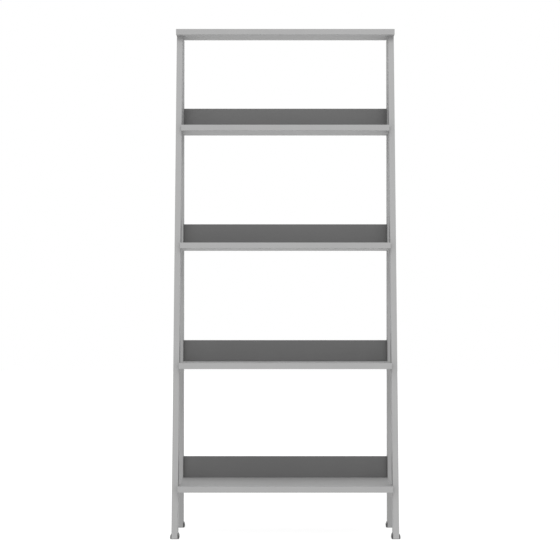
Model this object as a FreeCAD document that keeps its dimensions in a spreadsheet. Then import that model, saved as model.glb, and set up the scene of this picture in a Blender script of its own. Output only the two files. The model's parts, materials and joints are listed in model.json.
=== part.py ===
import FreeCAD, Part
import os
import Sketcher

# A five-level ladder shelf.  Two side ladders, each a leaning front leg and an upright
# rear leg, carry four shelves and a top board.  Every shelf has a low rail along its back.
# +Z is up, the front faces -Y, and the origin is on the floor under the middle of the shelf.

# ---------------------------------------------------------------- driving dimensions, mm
SIZES = {
    "overall_height": 1397,      # floor to the upper face of the top board
    "overall_depth": 305,        # back of the rear legs to the front of the front feet
    "leg_span": 608,             # outside to outside across the legs
    "leg_thick": 16,             # every leg is a board this thick
    "rear_leg_deep": 47.5,       # upright leg, front to back
    "front_leg_deep": 47.5,      # leaning leg, front to back, measured level
    "board_thick": 16,           # top board and shelves
    "top_board_wide": 610,
    "top_board_proud": 24,       # top board's front edge, out from the tops of the front legs
    "lowest_shelf_top": 140.5,   # upper face of the lowest shelf
    "shelf_pitch": 328.3,        # one shelf to the next
    "board_back_inset": 16,      # back edge of every board, in from the back of the rear legs
    "shelf_proud": 19.5,         # shelf's front edge, out from the front legs
    "rail_tall": 59,
    "rail_thick": 15,
    "edge_round": 1,             # eased long edges of every board
    "glide_cheek": 4.1,          # how far a foot glide swells out of the leg's side, at most
    "glide_swell": 15,         # radius of that swelling, seen from the front
    "glide_foot": 3.2,           # how far it stands out at the floor
    "glide_lip": 0.8,            # how far it stands out at its upper edge
    "glide_tall": 14,
    "glide_long": 32,            # front to back, centred under the leg
    "glide_base": 2,             # plastic under the end of the leg
    "glide_corner": 4,           # glide's corners, seen from above
    "screw_head_wide": 9.5,
    "screw_head_tall": 3,
    "screw_shank": 5,
    "screw_core": 3.8,           # between the threads
    "screw_long": 42,            # below the head
    "screw_plain": 11,           # smooth length below the head
    "thread_pitch": 2.2,
    "socket_wide": 4,            # hexagon, across the corners
    "socket_deep": 2,
    "cap_wide": 12,
    "cap_tall": 2,
    "cap_edge": 0.4,
    "cap_stem_wide": 3,
    "cap_stem_long": 1.6,
    "dowel_wide": 6,
    "dowel_long": 24,
    "dowel_edge": 0.6,
    "dowel_shallow": 9,          # dowel's depth in the face it is set square to
    "nail_wide": 2.4,
    "nail_long": 18,
    "nail_head_wide": 6.5,
    "nail_head_tall": 0.8,
    "nail_head_sunk": 0.3,       # nail head, up from the floor
    "hole_gap": 0.1,             # added to the diameter of each hole
    "hole_spare": 0.6,           # added to the depth of each blind hole
    "front_screw_in": 17,        # front leg: shelf screw, in from the leg's front face
    "front_dowel_in": 33,        # front leg: shelf dowel, in from the leg's front face
    "rear_screw_in": 36,         # rear leg: shelf screw, in from the back
    "rear_dowel_in": 23,         # rear leg: shelf dowel, in from the back
    "rail_screw_up": 34,         # rail screw, above the shelf
    "top_screw_front_in": 17,    # top board: front screws, in from the front legs' front faces
    "top_dowel_front_in": 34,    # top board: front dowels, in from the front legs' front faces
    "top_screw_rear_in": 10,     # top board: rear screws, in from the board's back edge
    "top_dowel_rear_in": 24,     # top board: rear dowels, in from the board's back edge
    "rail_dowel_out": 220,       # outer rail dowels, from the middle
}
SHELF_COUNT = 4
SIDES = {"left": -1, "right": 1}

doc = FreeCAD.newDocument("ladder_shelf")
sheet = doc.addObject("Spreadsheet::Sheet", "Sizes")
for row, (alias, value) in enumerate(SIZES.items(), start=1):
    sheet.set(f"A{row}", alias)
    sheet.set(f"B{row}", str(value))
    sheet.setAlias(f"B{row}", alias)
doc.recompute()


# ---------------------------------------------------------------- places, as expressions
def named(text):
    """The expression with each word of SIZES pointing at its cell."""
    words = []
    for word in text.replace("(", "( ").replace(")", " )").split():
        words.append(f"Sizes.{word}" if word in SIZES else word)
    return " ".join(words)


def amount(text):
    """The number that an expression comes to."""
    return float(sheet.evalExpression(named(text)))


FLOOR = "0 * overall_height"
BACK = "overall_depth / 2"
BOARD_BACK = "(overall_depth / 2 - board_back_inset)"
TOPS_FRONT = "(overall_depth / 2 - rear_leg_deep - front_leg_deep)"
LEG_TOP = "(overall_height - board_thick)"
LEAN = f"((overall_depth - rear_leg_deep - front_leg_deep) / ({LEG_TOP} - glide_base))"
INSIDE = "(leg_span / 2 - leg_thick)"


def front_face(height):
    """How far back the front leg's front face is at a height."""
    return f"(-1 * overall_depth / 2 + {LEAN} * ({height} - glide_base))"


def shelf_top(level):
    """Upper face of a shelf, counted from the lowest, 0."""
    return f"(lowest_shelf_top + {level} * shelf_pitch)"


def shelf_middle(level):
    """Half way through a shelf's thickness."""
    return f"({shelf_top(level)} - board_thick / 2)"


# ---------------------------------------------------------------- drawing and cutting
def new_body(name):
    """An empty body whose label names its file."""
    body = doc.addObject("PartDesign::Body", name)
    body.Label = name
    body.Placement = FreeCAD.Placement()
    return body


def sketch_on(body, role, offset, name):
    """A sketch on one of the body's own origin planes, moved along the plane's normal."""
    sketch = body.newObject("Sketcher::SketchObject", name)
    plane = next(item for item in body.Origin.OriginFeatures if item.Role == role)
    sketch.AttachmentSupport = [(plane, "")]
    sketch.MapMode = "FlatFace"
    sketch.setExpression("AttachmentOffset.Base.z", named(offset))
    return sketch


def pin_point(sketch, line, end, across, up):
    """Ties one point of a line or circle to its place in the sketch."""
    for kind, place in (("DistanceX", across), ("DistanceY", up)):
        number = sketch.addConstraint(Sketcher.Constraint(kind, -1, 1, line, end, amount(place)))
        sketch.setExpression(f"Constraints[{number}]", named(place))


def arc_between(start, end, radius):
    """The shorter arc of a radius, turning anticlockwise from start to end."""
    chord = end - start
    inward = FreeCAD.Vector(-chord.y, chord.x, 0).normalize()
    rise = (radius ** 2 - (chord.Length / 2) ** 2) ** 0.5
    centre = (start + end) / 2 + inward * rise
    along = FreeCAD.Vector(1, 0, 0)
    up = FreeCAD.Vector(0, 0, 1)
    turns = [along.getAngle(point - centre) * (1 if point.y >= centre.y else -1) for point in (start, end)]
    return Part.ArcOfCircle(Part.Circle(centre, up, radius), turns[0], turns[1])


def outline(sketch, corners, rounds=None):
    """A closed outline, anticlockwise through the corners.

    rounds gives the radius of the arc that leaves a corner; other sides are straight.
    """
    rounds = rounds or {}
    points = [FreeCAD.Vector(amount(across), amount(up), 0) for across, up in corners]
    first = sketch.GeometryCount
    for index, point in enumerate(points):
        following = points[(index + 1) % len(points)]
        if index in rounds:
            sketch.addGeometry(arc_between(point, following, amount(rounds[index])), False)
        else:
            sketch.addGeometry(Part.LineSegment(point, following), False)
    for index, (across, up) in enumerate(corners):
        following = first + (index + 1) % len(points)
        sketch.addConstraint(Sketcher.Constraint("Coincident", first + index, 2, following, 1))
        pin_point(sketch, first + index, 1, across, up)
    for index, radius in rounds.items():
        size = sketch.addConstraint(Sketcher.Constraint("Radius", first + index, amount(radius)))
        sketch.setExpression(f"Constraints[{size}]", named(radius))


def rectangle(sketch, left, bottom, right, top):
    """An upright rectangle between two corners."""
    outline(sketch, [(left, bottom), (right, bottom), (right, top), (left, top)])


def circle(sketch, across, up, wide):
    """A circle of a diameter about a point."""
    centre = FreeCAD.Vector(amount(across), amount(up), 0)
    shape = Part.Circle(centre, FreeCAD.Vector(0, 0, 1), amount(wide) / 2)
    number = sketch.addGeometry(shape, False)
    pin_point(sketch, number, 3, across, up)
    size = sketch.addConstraint(Sketcher.Constraint("Diameter", number, amount(wide)))
    sketch.setExpression(f"Constraints[{size}]", named(wide))


def pad(body, sketch, length, name):
    """Thickens a sketch along its plane's normal."""
    feature = body.newObject("PartDesign::Pad", name)
    feature.Profile = sketch
    feature.setExpression("Length", named(length))
    sketch.Visibility = False
    doc.recompute()
    return feature


def cut(body, sketch, depth, forward, name):
    """Cuts a sketch into the body, along its plane's normal or against it."""
    before = body.Shape.Volume
    feature = body.newObject("PartDesign::Pocket", name)
    feature.Profile = sketch
    feature.setExpression("Length", named(depth))
    feature.Reversed = forward
    sketch.Visibility = False
    doc.recompute()
    if body.Shape.Volume >= before:
        raise RuntimeError(f"{body.Label}: {name} cuts nothing")
    return feature


def drill(body, role, face, centres, wide, depth, forward, name):
    """Round holes of one size, from a flat face into the body."""
    sketch = sketch_on(body, role, face, f"{name}_centres")
    for across, up in centres:
        circle(sketch, across, up, wide)
    return cut(body, sketch, depth, forward, name)


def ease(body, wanted, name):
    """Rounds the edges of the body's last feature that pass a test."""
    last = body.Tip
    edges = [f"Edge{number}" for number, edge in enumerate(last.Shape.Edges, start=1) if wanted(edge)]
    feature = body.newObject("PartDesign::Fillet", name)
    feature.Base = (last, edges)
    feature.setExpression("Radius", named("edge_round"))
    doc.recompute()
    return feature


def longer_than(length):
    """A test that passes edges longer than a length."""
    return lambda edge: edge.Length > amount(length)


def screw_holes(body, face, centres, forward, name):
    """Stepped holes for capped screws: cap seat, head seat and a hole right through."""
    steps = (
        ("cap", "cap_wide + hole_gap", "cap_tall"),
        ("head", "screw_head_wide + hole_gap", "cap_tall + screw_head_tall"),
        ("shank", "screw_shank + 2 * hole_gap", "leg_thick + board_thick"),
    )
    role, offset = face
    for step, wide, depth in steps:
        drill(body, role, offset, centres, wide, depth, forward, f"{name}_{step}_seat")


DOWEL_HOLE = "dowel_wide + hole_gap"
DOWEL_LONG_SIDE = "dowel_long - dowel_shallow + hole_spare"
SCREW_HOLE = "screw_shank + hole_gap"


# ---------------------------------------------------------------- where the fasteners go
def front_screws():
    """Shelf screws in a front leg, as (back, up)."""
    levels = [shelf_middle(level) for level in range(SHELF_COUNT)]
    return [(f"{front_face(up)} + front_screw_in", up) for up in levels]


def front_dowels():
    levels = [shelf_middle(level) for level in range(SHELF_COUNT)]
    return [(f"{front_face(up)} + front_dowel_in", up) for up in levels]


def rear_screws():
    """Shelf screws in a rear leg, as (back, up)."""
    return [(f"{BACK} - rear_screw_in", shelf_middle(level)) for level in range(SHELF_COUNT)]


def rear_dowels():
    return [(f"{BACK} - rear_dowel_in", shelf_middle(level)) for level in range(SHELF_COUNT)]


RAIL_MIDDLE = f"{BOARD_BACK} - rail_thick / 2"


def rail_screws():
    """Rail screws in a rear leg, as (back, up)."""
    return [(RAIL_MIDDLE, f"{shelf_top(level)} + rail_screw_up") for level in range(SHELF_COUNT)]


def leg_middle(side):
    """Half way through a leg's thickness."""
    return f"{side} * (leg_span / 2 - leg_thick / 2)"


TOP_SCREW_ROWS = (f"{BOARD_BACK} - top_screw_rear_in", f"{TOPS_FRONT} + top_screw_front_in")
TOP_DOWEL_ROWS = (f"{BOARD_BACK} - top_dowel_rear_in", f"{TOPS_FRONT} + top_dowel_front_in")
RAIL_DOWELS = ("-1 * rail_dowel_out", "0 * rail_dowel_out", "rail_dowel_out")


# ---------------------------------------------------------------- legs
def leg_outline(leg):
    """A leg from the side, as (back, up) corners."""
    foot = "glide_base"
    if leg == "rear":
        front = f"{BACK} - rear_leg_deep"
        return [(front, foot), (BACK, foot), (BACK, LEG_TOP), (front, LEG_TOP)]
    low, high = front_face(foot), front_face(LEG_TOP)
    deep = "+ front_leg_deep"
    return [(low, foot), (f"{low} {deep}", foot), (f"{high} {deep}", LEG_TOP), (high, LEG_TOP)]


def foot_middle(leg):
    """Middle of the leg's end on its glide, front to back."""
    if leg == "rear":
        return f"{BACK} - rear_leg_deep / 2"
    return f"{front_face('glide_base')} + front_leg_deep / 2"


def make_leg(leg, side_name):
    side = SIDES[side_name]
    body = new_body(f"{leg}_leg_{side_name}")
    start = "-1 * leg_span / 2" if side < 0 else INSIDE
    sketch = sketch_on(body, "YZ_Plane", start, "side_outline")
    outline(sketch, leg_outline(leg))
    pad(body, sketch, "leg_thick", "blank")
    ease(body, longer_than("overall_height / 2"), "eased_edges")

    outer = ("YZ_Plane", f"{side} * leg_span / 2")
    inner = f"{side} * {INSIDE}"
    screws = front_screws() if leg == "front" else rear_screws() + rail_screws()
    dowels = front_dowels() if leg == "front" else rear_dowels()
    screw_holes(body, outer, screws, side < 0, "side")
    drill(body, "YZ_Plane", inner, dowels, DOWEL_HOLE, "dowel_shallow", side > 0, "dowel_holes")

    row = 0 if leg == "rear" else 1
    middle = leg_middle(side)
    reach = "screw_long + screw_head_tall + cap_tall - board_thick + hole_spare"
    screw = [(middle, TOP_SCREW_ROWS[row])]
    dowel = [(middle, TOP_DOWEL_ROWS[row])]
    nail = [(middle, foot_middle(leg))]
    drill(body, "XY_Plane", LEG_TOP, screw, SCREW_HOLE, reach, False, "top_screw_hole")
    drill(body, "XY_Plane", LEG_TOP, dowel, DOWEL_HOLE, DOWEL_LONG_SIDE, False, "top_dowel_hole")
    drill(body, "XY_Plane", "glide_base", nail, "nail_wide + hole_gap", "nail_long", True, "nail_hole")
    return body


# ---------------------------------------------------------------- boards
def make_top_board():
    body = new_body("top_board")
    sketch = sketch_on(body, "XY_Plane", LEG_TOP, "plan_outline")
    half = "top_board_wide / 2"
    rectangle(sketch, f"-1 * {half}", f"{TOPS_FRONT} - top_board_proud", half, BOARD_BACK)
    pad(body, sketch, "board_thick", "blank")
    ease(body, longer_than("0 * edge_round"), "eased_edges")
    sides = [leg_middle(side) for side in SIDES.values()]
    screws = [(middle, row) for middle in sides for row in TOP_SCREW_ROWS]
    dowels = [(middle, row) for middle in sides for row in TOP_DOWEL_ROWS]
    screw_holes(body, ("XY_Plane", "overall_height"), screws, False, "top")
    drill(body, "XY_Plane", LEG_TOP, dowels, DOWEL_HOLE, "dowel_shallow", True, "dowel_holes")
    return body


def shelf_front(level):
    """Shelf's front edge, proud of the front legs."""
    return f"{front_face(shelf_middle(level))} - shelf_proud"


def make_shelf(level, name):
    body = new_body(name)
    top = shelf_top(level)
    sketch = sketch_on(body, "XY_Plane", f"{top} - board_thick", "plan_outline")
    rectangle(sketch, f"-1 * {INSIDE}", shelf_front(level), INSIDE, BOARD_BACK)
    pad(body, sketch, "board_thick", "blank")
    ease(body, longer_than("leg_span / 2"), "eased_edges")
    screws = [front_screws()[level], rear_screws()[level]]
    dowels = [front_dowels()[level], rear_dowels()[level]]
    reach = "screw_long + screw_head_tall + cap_tall - leg_thick + hole_spare"
    for side_name, side in SIDES.items():
        end = f"{side} * {INSIDE}"
        drill(body, "YZ_Plane", end, screws, SCREW_HOLE, reach, side < 0, f"{side_name}_screw_holes")
        drill(body, "YZ_Plane", end, dowels, DOWEL_HOLE, DOWEL_LONG_SIDE, side < 0,
              f"{side_name}_dowel_holes")
    centres = [(across, RAIL_MIDDLE) for across in RAIL_DOWELS]
    drill(body, "XY_Plane", top, centres, DOWEL_HOLE, "dowel_shallow", False, "rail_dowel_holes")
    return body


def make_rail(level, name):
    body = new_body(name)
    top = shelf_top(level)
    sketch = sketch_on(body, "XY_Plane", top, "plan_outline")
    rectangle(sketch, f"-1 * {INSIDE}", f"{BOARD_BACK} - rail_thick", INSIDE, BOARD_BACK)
    pad(body, sketch, "rail_tall", "blank")
    ease(body, longer_than("leg_span / 2"), "eased_edges")
    screw = [rail_screws()[level]]
    reach = "screw_long + screw_head_tall + cap_tall - leg_thick + hole_spare"
    for side_name, side in SIDES.items():
        end = f"{side} * {INSIDE}"
        drill(body, "YZ_Plane", end, screw, SCREW_HOLE, reach, side < 0, f"{side_name}_screw_hole")
    centres = [(across, RAIL_MIDDLE) for across in RAIL_DOWELS]
    drill(body, "XY_Plane", top, centres, DOWEL_HOLE, DOWEL_LONG_SIDE, True, "dowel_holes")
    return body


# ---------------------------------------------------------------- foot glides
def draw_saddle(sketch, middle):
    """A saddle from the front: a thin base and two cheeks that swell out of the leg's sides."""
    leg = "leg_thick / 2"
    lip = "(leg_thick / 2 + glide_lip)"
    foot = "(leg_thick / 2 + glide_foot)"
    corners = [
        (f"{middle} - {foot}", "0 * glide_tall"),
        (f"{middle} + {foot}", "0 * glide_tall"),
        (f"{middle} + {lip}", "glide_tall"),
        (f"{middle} + {leg}", "glide_tall"),
        (f"{middle} + {leg}", "glide_base"),
        (f"{middle} - {leg}", "glide_base"),
        (f"{middle} - {leg}", "glide_tall"),
        (f"{middle} - {lip}", "glide_tall"),
    ]
    outline(sketch, corners, rounds={1: "glide_swell", 7: "glide_swell"})


def draw_corner_trims(sketch, middle, near, far):
    """All that lies outside a saddle's plan, which has rounded corners."""
    half = "(leg_thick / 2 + glide_cheek)"
    spare = "glide_corner"
    left, right = f"{middle} - {half}", f"{middle} + {half}"
    rectangle(sketch, f"{left} - {spare}", f"{near} - {spare}", f"{right} + {spare}", f"{far} + {spare}")
    corners = [
        (f"{left} + {spare}", near),
        (f"{right} - {spare}", near),
        (right, f"{near} + {spare}"),
        (right, f"{far} - {spare}"),
        (f"{right} - {spare}", far),
        (f"{left} + {spare}", far),
        (left, f"{far} - {spare}"),
        (left, f"{near} + {spare}"),
    ]
    outline(sketch, corners, rounds={corner: "glide_corner" for corner in (1, 3, 5, 7)})


def make_glide(leg, side_name):
    body = new_body(f"foot_glide_{leg}_{side_name}")
    middle = leg_middle(SIDES[side_name])
    near = f"{foot_middle(leg)} - glide_long / 2"
    far = f"{foot_middle(leg)} + glide_long / 2"
    sketch = sketch_on(body, "XZ_Plane", f"-1 * ({far})", "front_outline")
    draw_saddle(sketch, middle)
    pad(body, sketch, "glide_long", "saddle")
    trim = sketch_on(body, "XY_Plane", "0 * glide_tall", "plan_corners")
    draw_corner_trims(trim, middle, near, far)
    cut(body, trim, "glide_tall", True, "rounded_corners")
    nail = [(middle, foot_middle(leg))]
    seat = "nail_head_tall + nail_head_sunk"
    drill(body, "XY_Plane", FLOOR, nail, "nail_head_wide + hole_gap", seat, True, "nail_head_seat")
    drill(body, "XY_Plane", FLOOR, nail, "nail_wide + hole_gap", "glide_base", True, "nail_hole")
    return body


# ---------------------------------------------------------------- one of each fastener
# Each stands on its own axis, pointing down, with its upper face at the origin.
def turned(name, profile):
    """A round piece: (out, up) corners, from the axis and back to it, turned about Z."""
    body = new_body(name)
    sketch = sketch_on(body, "XZ_Plane", "0 * edge_round", "half_outline")
    outline(sketch, profile)
    feature = body.newObject("PartDesign::Revolution", "turned")
    feature.Profile = sketch
    feature.ReferenceAxis = (sketch, ["V_Axis"])
    feature.Angle = 360
    sketch.Visibility = False
    doc.recompute()
    return body


def hexagon(sketch, wide):
    """A hexagon about the origin, given across its corners."""
    corners = [(f"{wide} / 2 * cos({turn})", f"{wide} / 2 * sin({turn})") for turn in range(0, 360, 60)]
    outline(sketch, corners)


def screw_pattern():
    """Furniture screw: cheese head with a hexagon socket, plain shank, ringed thread."""
    axis = "0 * screw_long"
    head, shank, core = "screw_head_wide / 2", "screw_shank / 2", "screw_core / 2"
    thread_from = "(screw_head_tall + screw_plain)"
    tip = "(screw_head_tall + screw_long)"
    ridges = int((amount("screw_long - screw_plain") - amount("thread_pitch")) / amount("thread_pitch"))
    profile = [(axis, axis), (axis, f"-1 * {tip}")]
    for ridge in reversed(range(ridges)):
        start = f"-1 * {thread_from} - {ridge} * thread_pitch"
        profile.append((core, f"{start} - thread_pitch"))
        profile.append((shank, f"{start} - thread_pitch / 2"))
    profile += [(core, f"-1 * {thread_from}"), (shank, f"-1 * {thread_from} + thread_pitch / 4")]
    profile += [(shank, "-1 * screw_head_tall"), (head, "-1 * screw_head_tall"), (head, axis)]
    body = turned("screw_pattern", profile)
    socket = sketch_on(body, "XY_Plane", axis, "socket_outline")
    hexagon(socket, "socket_wide")
    cut(body, socket, "socket_deep", False, "socket")
    return body


def cap_pattern():
    """Push-in cap: a disc with an eased rim, and a stem for the screw's socket."""
    rim, stem = "cap_wide / 2", "cap_stem_wide / 2"
    low = "-1 * cap_tall"
    stem_end = f"{low} - cap_stem_long"
    axis = "0 * cap_tall"
    return turned("cap_pattern", [
        (axis, axis), (axis, stem_end), (stem, stem_end), (stem, low),
        (rim, low), (rim, "-1 * cap_edge"), (f"{rim} - cap_edge", axis),
    ])


def dowel_pattern():
    """Wooden dowel with chamfered ends."""
    side = "dowel_wide / 2"
    end = "-1 * dowel_long"
    axis = "0 * dowel_long"
    return turned("dowel_pattern", [
        (axis, axis), (axis, end), (f"{side} - dowel_edge", end), (side, f"{end} + dowel_edge"),
        (side, "-1 * dowel_edge"), (f"{side} - dowel_edge", axis),
    ])


def nail_pattern():
    """Glide nail with a flat head."""
    head, shank = "nail_head_wide / 2", "nail_wide / 2"
    tip = "-1 * nail_long"
    axis = "0 * nail_long"
    return turned("nail_pattern", [
        (axis, axis), (axis, tip), (shank, f"{tip} + nail_wide"), (shank, "-1 * nail_head_tall"),
        (head, "-1 * nail_head_tall"), (head, axis),
    ])


# ---------------------------------------------------------------- groups of fasteners
POINTS_DOWN = FreeCAD.Rotation()
POINTS_UP = FreeCAD.Rotation(FreeCAD.Vector(1, 0, 0), 180)
POINTS_INWARD = {side: FreeCAD.Rotation(FreeCAD.Vector(0, 1, 0), 90 * side) for side in SIDES.values()}


def group(name, pattern, turn, places):
    """One node of identical fasteners: copies of a pattern, turned and put at (x, y, z) places."""
    copies = []
    for number, place in enumerate(places, start=1):
        copy = doc.addObject("App::Link", f"{name}_{number}")
        copy.LinkedObject = pattern
        copy.Placement = FreeCAD.Placement(FreeCAD.Vector(), turn)
        for axis, expression in zip("xyz", place):
            copy.setExpression(f"Placement.Base.{axis}", named(expression))
        copies.append(copy)
    node = doc.addObject("Part::Compound", name)
    node.Label = name
    node.Links = copies
    return node


def side_groups(screw, cap, dowel):
    """Screws, caps and dowels that go through the legs' sides."""
    nodes = []
    rows = {
        "shelf_{}_front": (front_screws(), front_dowels()),
        "shelf_{}_rear": (rear_screws(), rear_dowels()),
        "rail_{}": (rail_screws(), []),
    }
    for title, (screws, dowels) in rows.items():
        for side_name, side in SIDES.items():
            turn = POINTS_INWARD[side]
            outer = f"{side} * leg_span / 2"
            seat = f"{side} * (leg_span / 2 - cap_tall)"
            end = f"{side} * ({INSIDE} + dowel_shallow)"
            name = f"{title}_{side_name}"
            nodes.append(group(name.format("screws"), screw, turn, [(seat, *spot) for spot in screws]))
            nodes.append(group(name.format("screw_caps"), cap, turn, [(outer, *spot) for spot in screws]))
            if dowels:
                nodes.append(group(name.format("dowels"), dowel, turn, [(end, *spot) for spot in dowels]))
    return nodes


def top_groups(screw, cap, dowel):
    """Screws, caps and dowels that go down through the top board into the legs."""
    sides = [leg_middle(side) for side in SIDES.values()]
    screws = [(middle, row) for middle in sides for row in TOP_SCREW_ROWS]
    dowels = [(middle, row) for middle in sides for row in TOP_DOWEL_ROWS]
    seat = "overall_height - cap_tall"
    end = f"{LEG_TOP} + dowel_shallow"
    return [
        group("top_board_screws", screw, POINTS_DOWN, [(*spot, seat) for spot in screws]),
        group("top_board_screw_caps", cap, POINTS_DOWN, [(*spot, "overall_height") for spot in screws]),
        group("top_board_dowels", dowel, POINTS_DOWN, [(*spot, end) for spot in dowels]),
    ]


def rail_dowel_group(dowel):
    """Dowels that stand the rails on the shelves."""
    ends = [f"{shelf_top(level)} - dowel_shallow" for level in range(SHELF_COUNT)]
    return group("rail_dowels", dowel, POINTS_UP,
                 [(across, RAIL_MIDDLE, end) for end in ends for across in RAIL_DOWELS])


def nail_group(nail):
    """The nail that holds each glide."""
    places = []
    for leg in ("front", "rear"):
        for side in SIDES.values():
            places.append((leg_middle(side), foot_middle(leg), "nail_head_sunk"))
    return group("glide_nails", nail, POINTS_UP, places)


# ---------------------------------------------------------------- the whole shelf
def make_nodes():
    nodes = []
    for leg in ("front", "rear"):
        for side_name in SIDES:
            nodes.append(make_leg(leg, side_name))
            nodes.append(make_glide(leg, side_name))
    nodes.append(make_top_board())
    for level in range(SHELF_COUNT):
        nodes.append(make_shelf(level, f"shelf_{level + 1}"))
        nodes.append(make_rail(level, f"back_rail_{level + 1}"))
    screw, cap, dowel = screw_pattern(), cap_pattern(), dowel_pattern()
    nodes += side_groups(screw, cap, dowel)
    nodes += top_groups(screw, cap, dowel)
    nodes.append(rail_dowel_group(dowel))
    nodes.append(nail_group(nail_pattern()))
    doc.recompute()
    return nodes


def check(nodes):
    """Stops the build if anything in the document failed."""
    for item in doc.Objects:
        if "Invalid" in item.State or "Error" in item.State:
            raise RuntimeError(f"{item.Name}: {item.State}")
    for node in nodes:
        if node.Shape.isNull() or not node.Shape.isValid():
            raise RuntimeError(f"{node.Label}: bad shape")


nodes = make_nodes()
check(nodes)
os.makedirs("parts", exist_ok=True)
for node in nodes:
    node.Shape.exportStep(f"parts/{node.Label}.step")
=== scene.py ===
import json
import math

import bpy
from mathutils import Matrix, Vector


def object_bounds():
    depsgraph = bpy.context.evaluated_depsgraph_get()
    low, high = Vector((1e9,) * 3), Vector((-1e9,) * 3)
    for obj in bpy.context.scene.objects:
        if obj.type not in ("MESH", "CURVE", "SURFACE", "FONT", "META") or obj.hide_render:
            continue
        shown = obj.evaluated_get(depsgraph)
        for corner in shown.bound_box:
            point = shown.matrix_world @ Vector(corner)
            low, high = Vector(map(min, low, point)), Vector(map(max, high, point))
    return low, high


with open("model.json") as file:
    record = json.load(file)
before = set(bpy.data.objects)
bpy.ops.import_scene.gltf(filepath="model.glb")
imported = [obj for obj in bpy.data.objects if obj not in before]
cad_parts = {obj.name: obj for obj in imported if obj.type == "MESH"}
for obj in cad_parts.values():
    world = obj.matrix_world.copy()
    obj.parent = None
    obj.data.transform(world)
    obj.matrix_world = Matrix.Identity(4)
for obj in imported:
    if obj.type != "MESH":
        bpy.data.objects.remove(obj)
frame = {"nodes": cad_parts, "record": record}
cad_low, cad_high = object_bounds()
scene = bpy.context.scene

MM = 0.001
WHITE = (1, 1, 1, 1)


# ---------------------------------------------------------------- camera
CAMERA_DISTANCE = 4.9927        # in front of the back of the shelf
CAMERA_HEIGHT = 0.5974
CAMERA_TILT = 1.1625            # degrees up from level
CAMERA_LENS = 112.66
CAMERA_SENSOR = 36
CAMERA_SLIDE = -0.0095          # puts the shelf a little right of the middle
CAMERA_NEAREST = 0.1
CAMERA_FURTHEST = 100


def make_camera():
    """A long lens straight in front of the shelf, tilted up a little."""
    data = bpy.data.cameras.new("camera")
    data.lens = CAMERA_LENS
    data.sensor_width = CAMERA_SENSOR
    data.shift_x = CAMERA_SLIDE
    data.clip_start = CAMERA_NEAREST
    data.clip_end = CAMERA_FURTHEST
    camera = bpy.data.objects.new("camera", data)
    camera.location = (0, cad_high.y - CAMERA_DISTANCE, CAMERA_HEIGHT)
    camera.rotation_euler = (math.radians(90 + CAMERA_TILT), 0, 0)
    scene.collection.objects.link(camera)
    scene.camera = camera


# ---------------------------------------------------------------- light
SKY_STRENGTH = 1.0              # as bright as white paper in the picture
SOFTBOX_POWER = 460
SOFTBOX_SIZE = (7.2, 4.3)
SOFTBOX_PLACE = (0, -9.0, 7.2)
SOFTBOX_AIM = (0, 0, 0.7)


def make_light():
    """A plain white studio with one large softbox, above and behind the camera."""
    world = bpy.data.worlds.new("studio")
    world.use_nodes = True
    sky = world.node_tree.nodes["Background"]
    sky.inputs["Color"].default_value = WHITE
    sky.inputs["Strength"].default_value = SKY_STRENGTH
    scene.world = world

    data = bpy.data.lights.new("softbox", "AREA")
    data.shape = "RECTANGLE"
    data.size, data.size_y = SOFTBOX_SIZE
    data.energy = SOFTBOX_POWER
    softbox = bpy.data.objects.new("softbox", data)
    softbox.location = SOFTBOX_PLACE
    beam = Vector(SOFTBOX_AIM) - softbox.location
    softbox.rotation_euler = beam.to_track_quat("-Z", "Y").to_euler()
    scene.collection.objects.link(softbox)


# ---------------------------------------------------------------- material nodes
def new_material(name):
    """A material with a Principled surface, and a helper that adds nodes to it."""
    material = bpy.data.materials.new(name)
    material.use_nodes = True
    tree = material.node_tree
    shader = tree.nodes["Principled BSDF"]

    def add(kind, **values):
        node = tree.nodes.new(kind)
        for key, value in values.items():
            if key in node.inputs:
                node.inputs[key].default_value = value
            else:
                setattr(node, key, value)
        return node

    return material, tree.links.new, shader, add


def speckle(add, link, scale, detail, stretch=(1, 1, 1)):
    """Noise fixed to the piece: scale is lumps to a metre, before any stretch."""
    place = add("ShaderNodeTexCoord")
    noise = add("ShaderNodeTexNoise", Scale=scale, Detail=detail)
    mapping = add("ShaderNodeMapping", Scale=stretch)
    link(place.outputs["Object"], mapping.inputs["Vector"])
    link(mapping.outputs["Vector"], noise.inputs["Vector"])
    return noise.outputs["Fac"]


def remap(add, link, value, before, after):
    """Turns one range of a value into another, and holds it inside."""
    ramp = add("ShaderNodeMapRange")
    for name, end in zip(("From Min", "From Max", "To Min", "To Max"), (*before, *after)):
        ramp.inputs[name].default_value = end
    link(value, ramp.inputs["Value"])
    return ramp.outputs["Result"]


NOISE_RANGE = (0.3, 0.7)        # noise stays near a half


def spread(add, link, noise, low, high):
    """Turns noise into a range."""
    return remap(add, link, noise, NOISE_RANGE, (low, high))


def colour_between(add, link, value, dark, light):
    """A colour between two colours."""
    mix = add("ShaderNodeMix", data_type="RGBA")
    mix.inputs["A"].default_value = (*dark, 1)
    mix.inputs["B"].default_value = (*light, 1)
    link(value, mix.inputs["Factor"])
    return mix.outputs["Result"]


def greys(tone, contrast):
    """Two greys, a share darker and a share lighter than a tone."""
    return [(tone * share,) * 3 for share in (1 - contrast, 1 + contrast)]


def weigh(add, link, *parts):
    """The sum of several values, each multiplied by its share."""
    total = None
    for value, share in parts:
        step = add("ShaderNodeMath", operation="MULTIPLY_ADD")
        link(value, step.inputs[0])
        step.inputs[1].default_value = share
        step.inputs[2].default_value = 0
        if total is not None:
            link(total, step.inputs[2])
        total = step.outputs[0]
    return total


def rough_up(add, link, shader, height, strength, depth):
    """Gives a surface fine relief."""
    bump = add("ShaderNodeBump", Strength=strength, Distance=depth)
    link(height, bump.inputs["Height"])
    link(bump.outputs["Normal"], shader.inputs["Normal"])


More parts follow.
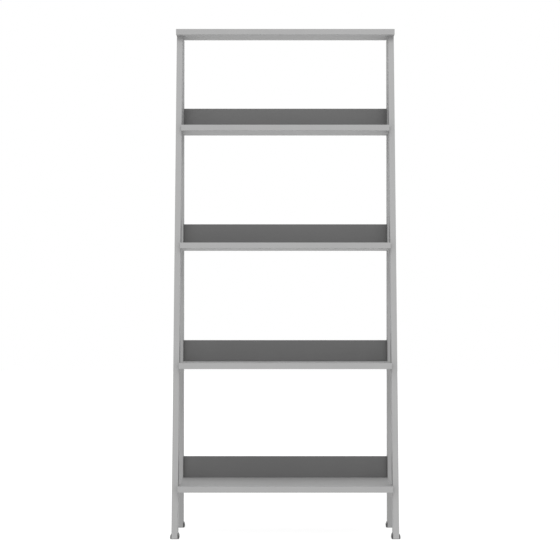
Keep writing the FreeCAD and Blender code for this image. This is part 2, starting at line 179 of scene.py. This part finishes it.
# ---------------------------------------------------------------- materials
FRAME_TONE = 0.308
RAIL_TONE = 0.1265
GLIDE_TONE = 0.06
CAP_TONE = 0.293
LEVEL_SANDING = (0.03, 1, 1)    # draws the noise out along X
UPRIGHT_SANDING = (1, 1, 0.03)  # and along Z
LEVEL_GRAIN = (0.07, 1, 1)
UPRIGHT_GRAIN = (1, 1, 0.07)
DUST_RANGE = (0.70, 0.76)       # only the noise's highest tips become specks
PLASTIC_PATCHES = 0.06          # how far moulded plastic's roughness strays
FLOOR_GLOW = 0.83               # a lit translucent floor, so shadows on it stay faint
FLOOR_TONES = [(0.24,) * 3, (0.26,) * 3]
STEEL_TONES = [(0.5, 0.5, 0.51), (0.62, 0.62, 0.63)]
BEECH_TONES = [(0.5, 0.34, 0.2), (0.66, 0.5, 0.33)]


def satin_paint(name, tone, stretch):
    """Sprayed satin paint over a sanded board.

    Faint clouding, fine sanding lines along the board, orange peel and a few specks of dust.
    """
    material, link, shader, add = new_material(name)
    clouds = spread(add, link, speckle(add, link, scale=9, detail=4), low=0, high=1)
    lines = spread(add, link, speckle(add, link, scale=420, detail=3, stretch=stretch), low=0, high=1)
    peel = speckle(add, link, scale=520, detail=2)
    dust = remap(add, link, speckle(add, link, scale=900, detail=1), before=DUST_RANGE, after=(0, 1))

    shade = weigh(add, link, (clouds, 0.55), (lines, 0.35), (dust, 0.6))
    link(colour_between(add, link, shade, *greys(tone, contrast=0.035)), shader.inputs["Base Color"])
    gloss = weigh(add, link, (speckle(add, link, scale=160, detail=3), 0.6), (lines, 0.1))
    link(spread(add, link, gloss, low=0.5, high=0.62), shader.inputs["Roughness"])
    relief = weigh(add, link, (peel, 0.8), (lines, 0.2), (dust, 0.25))
    rough_up(add, link, shader, relief, strength=0.5, depth=0.08 * MM)
    shader.inputs["Specular IOR Level"].default_value = 0.25
    return material


def plastic(name, tone, roughness, grain):
    """Moulded plastic with a spark-eroded grain."""
    material, link, shader, add = new_material(name)
    clouds = spread(add, link, speckle(add, link, scale=60, detail=3), low=0, high=1)
    link(colour_between(add, link, clouds, *greys(tone, contrast=0.07)), shader.inputs["Base Color"])
    gloss = speckle(add, link, scale=900, detail=2)
    least, most = roughness - PLASTIC_PATCHES, roughness + PLASTIC_PATCHES
    link(spread(add, link, gloss, low=least, high=most), shader.inputs["Roughness"])
    relief = speckle(add, link, scale=1600, detail=2)
    rough_up(add, link, shader, relief, strength=0.4, depth=grain)
    return material


def zinc_steel():
    """Zinc-plated steel with faint mottling."""
    material, link, shader, add = new_material("screw_steel")
    clouds = spread(add, link, speckle(add, link, scale=300, detail=4), low=0, high=1)
    link(colour_between(add, link, clouds, *STEEL_TONES), shader.inputs["Base Color"])
    shader.inputs["Metallic"].default_value = 1.0
    gloss = speckle(add, link, scale=1200, detail=3)
    link(spread(add, link, gloss, low=0.25, high=0.4), shader.inputs["Roughness"])
    return material


def beech(name, stretch):
    """Bare beech with the grain along the dowel."""
    material, link, shader, add = new_material(name)
    grain = spread(add, link, speckle(add, link, scale=900, detail=4, stretch=stretch), low=0, high=1)
    link(colour_between(add, link, grain, *BEECH_TONES), shader.inputs["Base Color"])
    shader.inputs["Roughness"].default_value = 0.7
    return material


def floor_paint():
    """A pale matt surface, lit from within."""
    material, link, shader, add = new_material("pale_floor")
    clouds = spread(add, link, speckle(add, link, scale=2, detail=3), low=0, high=1)
    link(colour_between(add, link, clouds, *FLOOR_TONES), shader.inputs["Base Color"])
    shader.inputs["Roughness"].default_value = 0.9
    shader.inputs["Specular IOR Level"].default_value = 0.1
    shader.inputs["Emission Color"].default_value = WHITE
    shader.inputs["Emission Strength"].default_value = FLOOR_GLOW
    return material


# ---------------------------------------------------------------- floor
FLOOR_REACH = 14


def make_floor():
    """A large flat floor at the shelf's feet."""
    mesh = bpy.data.meshes.new("floor")
    reach = FLOOR_REACH
    corners = [(-reach, -reach, 0), (reach, -reach, 0), (reach, reach, 0), (-reach, reach, 0)]
    mesh.from_pydata(corners, [], [(0, 1, 2, 3)])
    floor = bpy.data.objects.new("floor", mesh)
    scene.collection.objects.link(floor)
    floor.data.materials.append(floor_paint())


# ---------------------------------------------------------------- soft edges
SAME_POINT = 0.01 * MM          # points closer than this are one
SHARP_ANGLE = 35                # degrees: edges that turn more than this are softened
FACE_WEIGHT = 80                # large faces keep their flat shading
SOFT_EDGES = {                  # material slot: radius and steps
    "frame_paint": (0.4 * MM, 2),
    "rail_paint": (0.4 * MM, 2),
    "glide_plastic": (0.5 * MM, 3),
    "cap_plastic": (0.2 * MM, 2),
}


def soften(piece, radius, steps):
    """Rounds a CAD piece's sharp edges a little, as paint and moulding do."""
    weld = piece.modifiers.new("weld", "WELD")
    weld.merge_threshold = SAME_POINT
    bevel = piece.modifiers.new("soft_edges", "BEVEL")
    bevel.width = radius
    bevel.segments = steps
    bevel.limit_method = "ANGLE"
    bevel.angle_limit = math.radians(SHARP_ANGLE)
    bevel.use_clamp_overlap = True
    bevel.miter_outer = "MITER_ARC"
    shade = piece.modifiers.new("even_shading", "WEIGHTED_NORMAL")
    shade.weight = FACE_WEIGHT
    shade.keep_sharp = False


UPRIGHT_DOWELS = ("rail_dowels", "top_board_dowels")


def finish_pieces():
    """Gives every CAD piece its material, and the painted and plastic pieces soft edges."""
    finishes = {
        "frame_paint": satin_paint("frame_paint", FRAME_TONE, LEVEL_SANDING),
        "rail_paint": satin_paint("rail_paint", RAIL_TONE, LEVEL_SANDING),
        "glide_plastic": plastic("glide_plastic", GLIDE_TONE, roughness=0.5, grain=0.03 * MM),
        "cap_plastic": plastic("cap_plastic", CAP_TONE, roughness=0.5, grain=0.02 * MM),
        "screw_steel": zinc_steel(),
        "dowel_wood": beech("dowel_wood", LEVEL_GRAIN),
    }
    leg_paint = satin_paint("leg_paint", FRAME_TONE, UPRIGHT_SANDING)
    upright_wood = beech("upright_dowel_wood", UPRIGHT_GRAIN)
    for entry in frame["record"]["subparts"]:
        name, slot = entry["node"], entry["material_slot"]
        piece = frame["nodes"][name]
        finish = finishes[slot]
        if "_leg_" in name:
            finish = leg_paint
        elif name in UPRIGHT_DOWELS:
            finish = upright_wood
        piece.data.materials.clear()
        piece.data.materials.append(finish)
        if slot in SOFT_EDGES:
            soften(piece, *SOFT_EDGES[slot])


# ---------------------------------------------------------------- main
make_camera()
make_light()
make_floor()
finish_pieces()
scene.view_settings.view_transform = "Standard"

bpy.context.view_layer.update()
